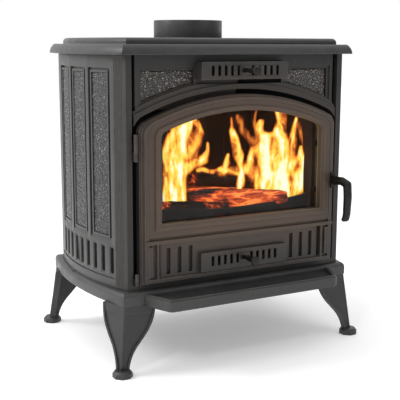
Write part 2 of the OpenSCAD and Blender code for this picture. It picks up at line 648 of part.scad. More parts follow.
base_plate();
leg_front_left();
leg_front_right();
leg_rear_left();
leg_rear_right();
foot_pads();
leg_bolts();
leg_nuts();
side_panel_left();
side_panel_right();
front_frame();
rear_panel();
top_plate();
tie_rods();
tie_rod_nuts();
flue_collar();
flue_collar_bolts();
flue_collar_nuts();
upper_air_cover();
upper_air_slider();
upper_air_knob();
airwash_plate();
baffle_plate();
firebox_back_liner();
firebox_left_liner();
firebox_right_liner();
hearth_plate();
grate();
log_guard();
ash_pan();
ash_shelf();
ash_shelf_bolts();
hinge_pins();
latch_keeper();
latch_keeper_screws();
door_frame();
door_rope_seal();
door_glass();
glass_gasket();
glass_clips();
glass_clip_screws();
lower_air_cover();
lower_air_slider();
lower_air_knob();
handle_escutcheon();
door_handle();
handle_spindle();
latch_cam();
latch_cam_nut();
firewood();
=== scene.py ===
import bpy, bmesh, math, random, json
from mathutils import Vector, Matrix, noise


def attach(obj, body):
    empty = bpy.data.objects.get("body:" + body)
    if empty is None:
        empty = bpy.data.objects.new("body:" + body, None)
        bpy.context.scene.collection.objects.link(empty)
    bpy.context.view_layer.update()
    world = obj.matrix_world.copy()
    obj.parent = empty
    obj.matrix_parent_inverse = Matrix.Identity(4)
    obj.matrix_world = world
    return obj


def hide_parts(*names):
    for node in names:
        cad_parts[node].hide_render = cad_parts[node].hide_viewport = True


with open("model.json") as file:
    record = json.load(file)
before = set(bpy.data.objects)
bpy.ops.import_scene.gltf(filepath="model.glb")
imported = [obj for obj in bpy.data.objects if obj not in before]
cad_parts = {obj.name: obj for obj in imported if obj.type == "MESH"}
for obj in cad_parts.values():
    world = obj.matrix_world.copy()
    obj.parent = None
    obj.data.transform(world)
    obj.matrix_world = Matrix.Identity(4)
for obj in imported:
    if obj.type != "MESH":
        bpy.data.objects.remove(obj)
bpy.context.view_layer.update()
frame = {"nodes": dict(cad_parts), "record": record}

N = frame["nodes"]
SC = bpy.context.scene
Y0 = (255.5 - 218.0) / 2000.0          # the model's front-to-back offset, metres
rnd = random.Random(7)


# ------------------------------------------------------------------ helpers
class Mat:
    """Small helper that builds node materials."""

    def __init__(self, name):
        self.m = bpy.data.materials.new(name)
        self.m.use_nodes = True
        self.t = self.m.node_tree
        for n in list(self.t.nodes):
            self.t.nodes.remove(n)
        self.out = self.t.nodes.new("ShaderNodeOutputMaterial")
        self.bsdf = self.t.nodes.new("ShaderNodeBsdfPrincipled")
        self.t.links.new(self.bsdf.outputs[0], self.out.inputs["Surface"])
        self.tc = self.t.nodes.new("ShaderNodeTexCoord")
        self.co = self.tc.outputs["Object"]

    def link(self, a, b):
        self.t.links.new(a, b)

    def new(self, kind, **kw):
        n = self.t.nodes.new(kind)
        for k, v in kw.items():
            setattr(n, k, v)
        return n

    def set(self, **kw):
        for k, v in kw.items():
            self.bsdf.inputs[k.replace("_", " ")].default_value = v
        return self

    def mapping(self, scale=(1, 1, 1), loc=(0, 0, 0), rot=(0, 0, 0)):
        n = self.new("ShaderNodeMapping")
        n.inputs["Scale"].default_value = scale
        n.inputs["Location"].default_value = loc
        n.inputs["Rotation"].default_value = rot
        self.link(self.co, n.inputs["Vector"])
        return n.outputs[0]

    def noise(self, scale, detail=4, rough=0.55, vec=None, dist=0.0):
        n = self.new("ShaderNodeTexNoise")
        n.inputs["Scale"].default_value = scale
        n.inputs["Detail"].default_value = detail
        n.inputs["Roughness"].default_value = rough
        n.inputs["Distortion"].default_value = dist
        self.link(vec if vec is not None else self.co, n.inputs["Vector"])
        return n.outputs["Fac"]

    def voronoi(self, scale, vec=None, feature="F1", rand=1.0):
        n = self.new("ShaderNodeTexVoronoi", feature=feature)
        n.inputs["Scale"].default_value = scale
        n.inputs["Randomness"].default_value = rand
        self.link(vec if vec is not None else self.co, n.inputs["Vector"])
        return n.outputs["Distance"]

    def ramp(self, fac, stops, interp="LINEAR"):
        n = self.new("ShaderNodeValToRGB")
        n.color_ramp.interpolation = interp
        e = n.color_ramp.elements
        while len(e) > 1:
            e.remove(e[-1])
        e[0].position = stops[0][0]
        e[0].color = _c(stops[0][1])
        for p, c in stops[1:]:
            x = e.new(p)
            x.color = _c(c)
        self.link(fac, n.inputs[0])
        return n.outputs[0]

    def math(self, op, a, b=None, c=None, clamp=False):
        n = self.new("ShaderNodeMath", operation=op)
        n.use_clamp = clamp
        for i, v in enumerate((a, b, c)):
            if v is None:
                continue
            if isinstance(v, (int, float)):
                n.inputs[i].default_value = v
            else:
                self.link(v, n.inputs[i])
        return n.outputs[0]

    def mix(self, fac, a, b, blend="MIX"):
        n = self.new("ShaderNodeMix", data_type="RGBA", blend_type=blend)
        for s, v in ((0, fac), (6, a), (7, b)):
            if isinstance(v, (int, float)):
                n.inputs[s].default_value = v if s == 0 else _c(v)
            elif isinstance(v, (tuple, list)):
                n.inputs[s].default_value = _c(v)
            else:
                self.link(v, n.inputs[s])
        return n.outputs[2]

    def maprange(self, v, a, b, c, d, smooth=False):
        n = self.new("ShaderNodeMapRange")
        n.interpolation_type = "SMOOTHSTEP" if smooth else "LINEAR"
        self.link(v, n.inputs[0])
        for i, x in zip((1, 2, 3, 4), (a, b, c, d)):
            n.inputs[i].default_value = x
        return n.outputs[0]

    def xyz(self, vec=None):
        n = self.new("ShaderNodeSeparateXYZ")
        self.link(vec if vec is not None else self.co, n.inputs[0])
        return n.outputs

    def bump(self, height, strength, dist=0.001, normal=None):
        n = self.new("ShaderNodeBump")
        n.inputs["Strength"].default_value = strength
        n.inputs["Distance"].default_value = dist
        self.link(height, n.inputs["Height"])
        if normal is not None:
            self.link(normal, n.inputs["Normal"])
        return n.outputs[0]

    def base(self, c):
        self._to("Base Color", c)
        return self

    def rough(self, c):
        self._to("Roughness", c)
        return self

    def normal(self, c):
        self.link(c, self.bsdf.inputs["Normal"])
        return self

    def _to(self, s, c):
        if isinstance(c, (int, float)):
            self.bsdf.inputs[s].default_value = _c(c) if "Color" in s else c
        elif isinstance(c, (tuple, list)):
            self.bsdf.inputs[s].default_value = _c(c)
        else:
            self.link(c, self.bsdf.inputs[s])


def _c(c):
    if isinstance(c, (int, float)):
        return (c, c, c, 1.0)
    return tuple(c) + (1.0,) if len(c) == 3 else tuple(c)


# ------------------------------------------------------------------ camera
YAW, PITCH, ROLL = 0.5087451617, 0.1763287559, 0.003036028
cam_d = bpy.data.cameras.new("camera")
cam = bpy.data.objects.new("camera", cam_d)
SC.collection.objects.link(cam)
cam_d.sensor_width = 36.0
cam_d.sensor_fit = "HORIZONTAL"
cam_d.lens = 880.6288 / 400.0 * 36.0
cam_d.clip_end = 60.0
fh = Vector((math.sin(YAW), math.cos(YAW), 0))
r0 = Vector((math.cos(YAW), -math.sin(YAW), 0))
up0 = Vector((0, 0, 1))
F = fh * math.cos(PITCH) - up0 * math.sin(PITCH)
U = fh * math.sin(PITCH) + up0 * math.cos(PITCH)
R2 = r0 * math.cos(ROLL) + U * math.sin(ROLL)
U2 = -r0 * math.sin(ROLL) + U * math.cos(ROLL)
m = Matrix((R2, U2, -F)).transposed().to_4x4()
m.translation = Vector((-0.93804, -1.69328 + Y0, 0.63971))
cam.matrix_world = m
SC.camera = cam
SC.view_settings.view_transform = "Standard"
SC.view_settings.look = "None"


# ------------------------------------------------------------------ stage and light
def add_mesh(name, verts, faces, smooth=False):
    me = bpy.data.meshes.new(name)
    me.from_pydata([tuple(v) for v in verts], [], faces)
    me.validate()
    me.update()
    o = bpy.data.objects.new(name, me)
    SC.collection.objects.link(o)
    if smooth:
        for p in me.polygons:
            p.use_smooth = True
    return o


floor = add_mesh("floor", [(-9, -9, 0), (9, -9, 0), (9, 9, 0), (-9, 9, 0)], [(0, 1, 2, 3)])
fm = Mat("floor_pale")
fm.base(fm.ramp(fm.noise(3.0, 3), [(0.3, 0.90), (0.7, 0.93)])).set(Roughness=0.9, Specular_IOR_Level=0.1)
fm.bsdf.inputs["Emission Color"].default_value = (1, 1, 1, 1)
fm.bsdf.inputs["Emission Strength"].default_value = 0.22
floor.data.materials.append(fm.m)

w = bpy.data.worlds.new("world")
SC.world = w
w.use_nodes = True
wt = w.node_tree
bg = wt.nodes["Background"]
wc = wt.nodes.new("ShaderNodeTexCoord")
ws = wt.nodes.new("ShaderNodeSeparateXYZ")
wt.links.new(wc.outputs["Generated"], ws.inputs[0])


def wnode(kind, **kw):
    n = wt.nodes.new(kind)
    for k, v in kw.items():
        setattr(n, k, v)
    return n


def wmap(sock, a, b, c, d):
    n = wnode("ShaderNodeMapRange", interpolation_type="SMOOTHSTEP")
    wt.links.new(sock, n.inputs[0])
    for i, v in zip((1, 2, 3, 4), (a, b, c, d)):
        n.inputs[i].default_value = v
    return n.outputs[0]


def wmath(op, a, b):
    n = wnode("ShaderNodeMath", operation=op)
    for i, v in enumerate((a, b)):
        if isinstance(v, (int, float)):
            n.inputs[i].default_value = v
        else:
            wt.links.new(v, n.inputs[i])
    return n.outputs[0]


# a studio that is bright from the left and above, and dim behind the camera
soft = wmath("ADD", wmap(ws.outputs[1], -0.6, 0.5, 0.30, 0.95), wmap(ws.outputs[0], -0.15, -0.95, 0.0, 0.26))
soft = wmath("ADD", soft, wmap(ws.outputs[2], 0.35, 0.95, 0.0, 0.55))
lp = wnode("ShaderNodeLightPath")
wm = wnode("ShaderNodeMix", data_type="FLOAT")
wt.links.new(lp.outputs["Is Camera Ray"], wm.inputs[0])
wt.links.new(soft, wm.inputs[2])
wm.inputs[3].default_value = 1.0
wt.links.new(wm.outputs[0], bg.inputs[1])
bg.inputs[0].default_value = (1, 1, 1, 1)


def area(name, loc, target, size, power, color=(1, 1, 1), size_y=None):
    d = bpy.data.lights.new(name, "AREA")
    d.energy = power
    d.color = color
    d.size = size
    if size_y:
        d.shape = "RECTANGLE"
        d.size_y = size_y
    o = bpy.data.objects.new(name, d)
    SC.collection.objects.link(o)
    o.location = loc
    o.rotation_euler = (Vector(target) - Vector(loc)).to_track_quat("-Z", "Y").to_euler()
    return o


area("key_left", (-2.1, 0.75, 1.9), (0, 0, 0.35), 0.8, 27)
area("key_spark", (-1.9, -1.5, 2.1), (0, 0, 0.4), 0.35, 10)
area("front_soft", (1.6, -2.6, 1.8), (0, 0, 0.35), 1.2, 7)

# ------------------------------------------------------------------ materials
def edge_mask(M, radius=0.0016):
    """White on outside edges, from the rounded normal: partly paint wear, partly a painted highlight."""
    b = M.new("ShaderNodeBevel")
    b.samples = 4
    b.inputs["Radius"].default_value = radius
    g = M.new("ShaderNodeNewGeometry")
    d = M.new("ShaderNodeVectorMath", operation="DOT_PRODUCT")
    M.link(b.outputs[0], d.inputs[0])
    M.link(g.outputs["Normal"], d.inputs[1])
    return M.maprange(d.outputs["Value"], 0.995, 0.82, 0.0, 1.0)


def cast(name, dark=0.030, painted_glow=0.0, painted_shade=None, rough=0.44, wear_and_highlight=0.5, grain=1.0):
    """Satin stove paint over a fine sand-cast skin, with an optional painted firelight glow, 0..1, brown towards the
    fire opening.
    """
    M = Mat(name)
    big = M.noise(7.0, 4, 0.6)
    mid = M.noise(55.0, 5, 0.6)
    fine = M.noise(850.0, 3, 0.6)
    c = M.mix(M.maprange(mid, 0.3, 0.7, 0.0, 1.0), (dark * 0.82,) * 3, (dark * 1.22, dark * 1.21, dark * 1.19))
    c = M.mix(M.maprange(big, 0.35, 0.7, 0.0, 0.45), c, (dark * 1.5, dark * 1.46, dark * 1.4))
    # painted light: a warm firelight glow painted into the colour, strongest round the fire opening and higher up
    if painted_glow:
        x, y, z = M.xyz()
        ax = M.math("ABSOLUTE", x)
        rr = M.math("SQRT", M.math("ADD", M.math("MULTIPLY", x, x), M.math("POWER", M.math("SUBTRACT", z, 0.02), 2.0)))
        fx = M.maprange(ax, 0.175, 0.275, 1.0, 0.0, True)
        fr = M.maprange(rr, 0.47, 0.60, 1.0, 0.0, True)
        fz = M.maprange(z, 0.19, 0.28, 0.12, 1.0, True)
        f = M.math("MULTIPLY", M.math("MULTIPLY", fx, fr), fz)
        f = M.math("MULTIPLY", f, M.maprange(big, 0.3, 0.7, 0.75 * painted_glow, 1.05 * painted_glow), clamp=True)
        c = M.mix(f, c, (dark * 3.4, dark * 2.15, dark * 1.42))
    # partly paint wear, partly a painted highlight: outside edges are lightened, warmer where the firelight glow is
    # painted
    e = M.math("MULTIPLY", edge_mask(M), M.maprange(mid, 0.35, 0.65, 0.25 * wear_and_highlight, wear_and_highlight), clamp=True)
    c = M.mix(e, c, (0.17, 0.163, 0.155) if not painted_glow else (0.235, 0.165, 0.125))
    # painted shade: recesses and gaps picked out by the mask are painted near black
    if painted_shade is not None:
        c = M.mix(painted_shade(M), c, (0.0012, 0.0011, 0.001))
    M.base(c)
    rg = M.maprange(mid, 0.3, 0.7, rough - 0.07, rough + 0.1)
    if painted_shade is not None:
        rg = M.math("MAXIMUM", rg, painted_shade(M))
    M.rough(rg)
    h = M.math("ADD", M.math("MULTIPLY", fine, 0.5), M.math("MULTIPLY", M.noise(240.0, 4, 0.6), 1.0))
    M.normal(M.bump(h, 0.35 * grain, 0.0005, M.bump(mid, 0.22 * grain, 0.0012)))
    M.set(Specular_IOR_Level=0.42)
    return M


# painted shade on the front frame: near black on surfaces set back in the channels beside the posts, weaker high on
# the left
def frame_painted_shade(M):
    x, y, z = M.xyz()
    ax = M.math("ABSOLUTE", x)
    deep = M.maprange(y, -0.1688 + Y0, -0.1676 + Y0, 0.0, 1.0)
    inside = M.maprange(ax, 0.2409, 0.2413, 1.0, 0.0)
    low = M.maprange(z, 0.1705, 0.1722, 0.0, 1.0)
    left = M.math("MULTIPLY", M.math("LESS_THAN", x, 0.0), M.math("GREATER_THAN", z, 0.5125))
    low = M.math("MULTIPLY", low, M.math("SUBTRACT", 1.0, M.math("MULTIPLY", left, 0.88)))
    return M.math("MULTIPLY", M.math("MULTIPLY", deep, inside), low)


# painted shade on the door: near black in the gap along the door's edges, except on the hinge knuckles
def door_painted_shade(M):
    x, y, z = M.xyz()
    ax = M.math("ABSOLUTE", x)
    rr = M.math("SQRT", M.math("ADD", M.math("MULTIPLY", x, x), M.math("POWER", M.math("SUBTRACT", z, 0.02), 2.0)))
    a = M.maprange(ax, 0.2303, 0.2308, 0.0, 1.0)
    b = M.maprange(rr, 0.5190, 0.5197, 0.0, 1.0)
    knuckle = M.math("GREATER_THAN", ax, 0.2314)
    s = M.math("MAXIMUM", a, b)
    s = M.math("MULTIPLY", s, M.maprange(y, -0.1872 + Y0, -0.1856 + Y0, 0.0, 1.0))
    return M.math("MULTIPLY", s, M.math("SUBTRACT", 1.0, knuckle))


def spot_steel(name, col, rough, metal=1.0):
    M = Mat(name)
    n = M.noise(420.0, 4, 0.6)
    big = M.noise(30.0, 3, 0.6)
    c = M.mix(M.maprange(n, 0.3, 0.7, 0.0, 1.0), tuple(v * 0.75 for v in col), tuple(min(1, v * 1.2) for v in col))
    # partly wear, partly a painted highlight: edges painted lighter
    c = M.mix(M.math("MULTIPLY", edge_mask(M, 0.0006), 0.5), c, tuple(min(1, v * 2.2 + 0.03) for v in col))
    M.base(c).rough(M.maprange(big, 0.3, 0.7, rough - 0.06, rough + 0.12)).set(Metallic=metal)
    M.normal(M.bump(n, 0.25, 0.0002))
    return M


# painted light and painted shade: the one stove paint gets a lighter base on the sides, top and collar and a darker
# one on the front, door and covers, by which way each part faces
side_m = cast("painted_iron_sides", 0.040, rough=0.42, wear_and_highlight=0.75)
body_m = cast("painted_iron", 0.034, rough=0.43, wear_and_highlight=0.6)
front_m = cast("painted_iron_front", 0.020, painted_glow=0.75, painted_shade=frame_painted_shade, rough=0.46, wear_and_highlight=0.35)
door_m = cast("painted_iron_door", 0.026, painted_glow=1.0, painted_shade=door_painted_shade, rough=0.42, wear_and_highlight=0.8)
cover_m = cast("painted_iron_covers", 0.027, painted_glow=0.75, rough=0.42, wear_and_highlight=0.7)
leg_m = cast("painted_iron_legs", 0.030, rough=0.45, wear_and_highlight=0.6)
top_m = cast("painted_iron_top", 0.036, rough=0.38, wear_and_highlight=0.55)
collar_m = cast("painted_iron_collar", 0.040, rough=0.40, wear_and_highlight=0.5)
raw_m = cast("raw_iron", 0.022, rough=0.62, wear_and_highlight=0.2, grain=1.5)
black_m = spot_steel("black_steel", (0.03, 0.03, 0.03), 0.42, 0.6)
steel_m = spot_steel("plain_steel", (0.42, 0.41, 0.40), 0.32)
sheet_m = spot_steel("sheet_steel", (0.035, 0.035, 0.036), 0.48, 0.4)
fit_m = spot_steel("black_fittings", (0.007, 0.007, 0.007), 0.38, 0.0)
fit_m.set(Specular_IOR_Level=0.32)

rope_m = Mat("rope_seal")
v = rope_m.mapping((1, 1, 1), rot=(0, 0.78, 0))
wv = rope_m.new("ShaderNodeTexWave", wave_type="BANDS", bands_direction="DIAGONAL")
wv.inputs["Scale"].default_value = 190.0
wv.inputs["Distortion"].default_value = 3.0
rope_m.link(v, wv.inputs["Vector"])
rope_m.base(rope_m.mix(wv.outputs["Fac"], (0.20, 0.18, 0.15), (0.55, 0.51, 0.44))).rough(0.92)
rope_m.normal(rope_m.bump(wv.outputs["Fac"], 0.8, 0.001))

lin_m = Mat("fire_lining")
ln = lin_m.noise(14.0, 5, 0.65)
lf = lin_m.noise(300.0, 4, 0.7)
lc = lin_m.mix(lin_m.maprange(ln, 0.35, 0.68, 0.0, 1.0), (0.030, 0.020, 0.016), (0.105, 0.066, 0.048))
lz = lin_m.xyz()[2]
lc = lin_m.mix(lin_m.maprange(lz, 0.30, 0.50, 0.0, 0.55), lc, (0.055, 0.034, 0.026))
lin_m.base(lc).rough(0.93).normal(lin_m.bump(lf, 0.5, 0.0015, lin_m.bump(ln, 0.3, 0.004)))

glassm = Mat("fire_glass")
gx, gy, gz = glassm.xyz()
ga = glassm.math("ABSOLUTE", gx)
soot = glassm.maprange(ga, 0.165, 0.197, 0.0, 0.30, True)
soot = glassm.math("ADD", soot, glassm.maprange(gz, 0.335, 0.285, 0.0, 0.20, True))
soot = glassm.math("MULTIPLY", soot, glassm.maprange(glassm.noise(26.0, 5, 0.6), 0.3, 0.7, 0.3, 1.2))
alpha = glassm.math("ADD", soot, 0.05, clamp=True)
glassm.link(alpha, glassm.bsdf.inputs["Alpha"])
glassm.base(glassm.mix(glassm.noise(60.0, 4), (0.014, 0.010, 0.008), (0.030, 0.022, 0.018))).rough(glassm.maprange(glassm.noise(90.0, 3), 0.3, 0.7, 0.03, 0.12))
glassm.set(Specular_IOR_Level=0.5)

BY = {
    "base_plate": side_m, "side_panel_left": side_m, "side_panel_right": side_m, "rear_panel": body_m,
    "front_frame": front_m, "top_plate": top_m, "flue_collar": collar_m, "door_frame": door_m,
    "upper_air_cover": cover_m, "lower_air_cover": cover_m, "ash_shelf": body_m, "foot_pads": leg_m,
    "leg_front_left": leg_m, "leg_front_right": leg_m, "leg_rear_left": leg_m, "leg_rear_right": leg_m,
}
SLOT = {"painted_iron": body_m, "black_steel": black_m, "plain_steel": steel_m, "fire_lining": lin_m,
        "rope_seal": rope_m, "fire_glass": glassm, "black_fittings": fit_m, "burning_wood": raw_m,
        "sheet_steel": sheet_m, "raw_iron": raw_m}
slot_of = {s["node"]: s["material_slot"] for s in frame["record"]["subparts"]}
for n, o in N.items():
    o.data.materials.clear()
    o.data.materials.append(BY.get(n, SLOT.get(slot_of.get(n, "painted_iron"), body_m)).m)

# cast edges are never knife sharp: weld the shell, then round its edges a little
for n, wdt in (("top_plate", 0.0009), ("base_plate", 0.0009), ("ash_shelf", 0.0010), ("leg_front_left", 0.0008),
               ("leg_front_right", 0.0008), ("leg_rear_left", 0.0008), ("leg_rear_right", 0.0008),
               ("door_frame", 0.0006), ("front_frame", 0.0006), ("side_panel_left", 0.0006),
               ("side_panel_right", 0.0006), ("upper_air_cover", 0.0005), ("lower_air_cover", 0.0005),
               ("flue_collar", 0.0008), ("foot_pads", 0.0010), ("rear_panel", 0.0008)):
    o = N[n]
    wm = o.modifiers.new("weld", "WELD")
    wm.merge_threshold = 0.00002
    bm_ = o.modifiers.new("edges", "BEVEL")
    bm_.width = wdt
    bm_.segments = 2
    bm_.limit_method = "ANGLE"
    bm_.angle_limit = math.radians(33)
    bm_.use_clamp_overlap = True


# ------------------------------------------------------------------ textured plaques
def body(name):
    """Name of a CAD body that holds the given node."""
    for b, lst in frame["record"]["behaviour"]["bodies"].items():
        if name in lst:
            return b
    return "stove_body"


plaque_m = Mat("textured_enamel")
pv = plaque_m.voronoi(260.0)
pn = plaque_m.noise(380.0, 5, 0.65)
pb = plaque_m.noise(24.0, 3, 0.6)
pc = plaque_m.mix(plaque_m.maprange(pn, 0.35, 0.68, 0.0, 1.0), (0.0035, 0.0035, 0.0035), (0.020, 0.0195, 0.019))
pc = plaque_m.mix(plaque_m.maprange(pb, 0.35, 0.7, 0.0, 0.5), pc, (0.014, 0.014, 0.0135))
# painted glints: bright specks painted on the pebble tips
painted_glint = plaque_m.math("MULTIPLY", plaque_m.maprange(pv, 0.14, 0.36, 1.0, 0.0, True), plaque_m.maprange(plaque_m.noise(170.0, 2, 0.5), 0.44, 0.60, 0.0, 1.0), clamp=True)
pc = plaque_m.mix(painted_glint, pc, (0.34, 0.335, 0.33))
plaque_m.base(pc).rough(plaque_m.maprange(pn, 0.3, 0.7, 0.10, 0.26)).set(Specular_IOR_Level=0.55)
plaque_m.normal(plaque_m.bump(pn, 0.9, 0.0012, plaque_m.bump(pv, 0.8, 0.0016)))
plaque_w = Mat("textured_enamel_front")
pv = plaque_w.voronoi(260.0)
pn = plaque_w.noise(380.0, 5, 0.65)
pc = plaque_w.mix(plaque_w.maprange(pn, 0.35, 0.68, 0.0, 1.0), (0.004, 0.0034, 0.003), (0.024, 0.019, 0.016))
# painted glints: warm bright specks painted on the pebble tips
painted_glint = plaque_w.math("MULTIPLY", plaque_w.maprange(pv, 0.16, 0.40, 1.0, 0.0, True), plaque_w.maprange(plaque_w.noise(190.0, 2, 0.5), 0.42, 0.58, 0.0, 1.0), clamp=True)
plaque_w.base(plaque_w.mix(painted_glint, pc, (0.46, 0.37, 0.31)))
plaque_w.rough(plaque_w.maprange(pn, 0.3, 0.7, 0.10, 0.28)).set(Specular_IOR_Level=0.75)
plaque_w.normal(plaque_w.bump(pn, 0.9, 0.0012, plaque_w.bump(pv, 0.8, 0.0016)))


def pebble(a, b):
    """Height 0..1 of a crumpled, pebbled glaze; a and b in metres."""
    p = Vector((a * 230.0, b * 230.0, 3.1))
    d = noise.voronoi(p)[0]
    h = 1.0 - min(1.0, d[0] * 1.35)
    h = 0.62 * h + 0.38 * (0.5 + 0.5 * noise.noise(Vector((a * 420.0, b * 420.0, 9.0))))
    return max(0.0, min(1.0, h))


def slab_grid(name, nu, nv, outer, inner):
    """Closed slab from a front and a back surface, each a function of (i, j)."""
    V, Fc = [], []
    for f in (outer, inner):
        for j in range(nv + 1):
            for i in range(nu + 1):
                V.append(f(i / nu, j / nv))
    K = (nu + 1) * (nv + 1)
    ix = lambda i, j, k=0: k * K + j * (nu + 1) + i
    for j in range(nv):
        for i in range(nu):
            Fc.append((ix(i, j), ix(i + 1, j), ix(i + 1, j + 1), ix(i, j + 1)))
            Fc.append((ix(i, j, 1), ix(i, j + 1, 1), ix(i + 1, j + 1, 1), ix(i + 1, j, 1)))
    for i in range(nu):
        Fc.append((ix(i, 0), ix(i, 0, 1), ix(i + 1, 0, 1), ix(i + 1, 0)))
        Fc.append((ix(i, nv), ix(i + 1, nv), ix(i + 1, nv, 1), ix(i, nv, 1)))
    for j in range(nv):
        Fc.append((ix(0, j), ix(0, j + 1), ix(0, j + 1, 1), ix(0, j, 1)))
        Fc.append((ix(nu, j), ix(nu, j, 1), ix(nu, j + 1, 1), ix(nu, j + 1)))
    o = add_mesh(name, V, Fc)
    b = bmesh.new()
    b.from_mesh(o.data)
    bmesh.ops.recalc_face_normals(b, faces=b.faces)
    b.to_mesh(o.data)
    b.free()
    for p in o.data.polygons:
        p.use_smooth = True
    return o


BR = (29.0 ** 2 + 173.0 ** 2) / 58.0 / 1000.0
BC = BR - 0.284
for sx in (-1, 1):
    for q, s0 in enumerate((-0.098, -0.011, 0.076)):
        sd = q * 3.7 + (11.0 if sx > 0 else 0.0)

        def on_bow(s, z, r, sx=sx):
            a = s / BR
            return (sx * (r * math.cos(a) - BC), r * math.sin(a) + Y0, z)

        def outer(u, v, s0=s0, sd=sd):
            s, z = s0 - 0.0268 + 0.0536 * u, 0.2653 + 0.3184 * v
            edge = min(u, 1 - u, v * 6, (1 - v) * 6) * 12
            h = pebble(s + sd, z) * min(1.0, edge)
            return on_bow(s, z, BR - 0.0032 + 0.0021 * h)

        def inner(u, v, s0=s0):
            return on_bow(s0 - 0.0268 + 0.0536 * u, 0.2653 + 0.3184 * v, BR - 0.0040)

        o = slab_grid("plaque_%s_%d" % ("left" if sx < 0 else "right", q + 1), 42, 244, outer, inner)
        o.data.materials.append(plaque_m.m)
        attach(o, "stove_body")

for sx in (-1, 1):
    def arc_z(x):
        return 0.020 + math.sqrt(0.5524 ** 2 - x * x)

    def outer(u, v, sx=sx):
        x = 0.1049 + 0.1127 * u
        z = arc_z(x) + (0.5876 - arc_z(x)) * v
        w_ = 0.5876 - arc_z(x)
        edge = min(u * 100, (1 - u) * 100, v * w_ * 1000, (1 - v) * w_ * 1000) / 2.0
        return (sx * x, -0.1658 + Y0 - 0.0028 * pebble(x + 5 * sx, z) * min(1.0, edge), z)

    def inner(u, v, sx=sx):
        x = 0.1049 + 0.1127 * u
        return (sx * x, -0.1652 + Y0, arc_z(x) + (0.5876 - arc_z(x)) * v)

    o = slab_grid("spandrel_plaque_%s" % ("left" if sx < 0 else "right"), 78, 38, outer, inner)
    o.data.materials.append(plaque_w.m)
    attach(o, "stove_body")

# ------------------------------------------------------------------ logs and embers
def ember_mat(name, glow, crack, base=0.012, hot=(1.0, 0.23, 0.03), seed=0.0, streak=None, strength=1.5):
    """Charred wood with glowing cracks. glow 0..1 spreads the glow over the whole piece."""
    M = Mat(name)
    vec = M.mapping(streak or (1, 1, 1), loc=(seed, seed * 0.7, 0))
    v_ = M.new("ShaderNodeTexVoronoi", feature="DISTANCE_TO_EDGE")
    v_.inputs["Scale"].default_value = crack
    M.link(vec, v_.inputs["Vector"])
    d = v_.outputs["Distance"]
    n1 = M.noise(28.0, 5, 0.6, vec)
    n2 = M.noise(190.0, 4, 0.65, vec)
    ash = M.maprange(n2, 0.52, 0.75, 0.0, 1.0)
    c = M.mix(ash, (base, base * 0.9, base * 0.8), (base * 7, base * 5.6, base * 4.6))
    M.base(c).rough(0.9)
    lines = M.maprange(d, 0.0, 0.16, 1.0, 0.0, True)
    field = M.maprange(n1, 0.62 - 0.4 * glow, 0.78 - 0.3 * glow, 0.0, 1.0, True)
    e = M.math("MULTIPLY", field, M.math("ADD", M.math("MULTIPLY", lines, 1.0 - 0.6 * glow), 0.75 * glow))
    e = M.math("MULTIPLY", e, M.maprange(n2, 0.25, 0.7, 0.55, 1.25))
    ecol = M.ramp(e, [(0.0, (0, 0, 0)), (0.14, (0.10, 0.008, 0.002)), (0.42, (0.55, 0.062, 0.010)), (0.72, (0.86, 0.135, 0.022)), (1.0, (1.0, 0.30, 0.06))])
    M.link(ecol, M.bsdf.inputs["Emission Color"])
    M.bsdf.inputs["Emission Strength"].default_value = strength
    M.normal(M.bump(M.math("MINIMUM", d, 0.2), 0.9, 0.004, M.bump(n2, 0.6, 0.002)))
    return M


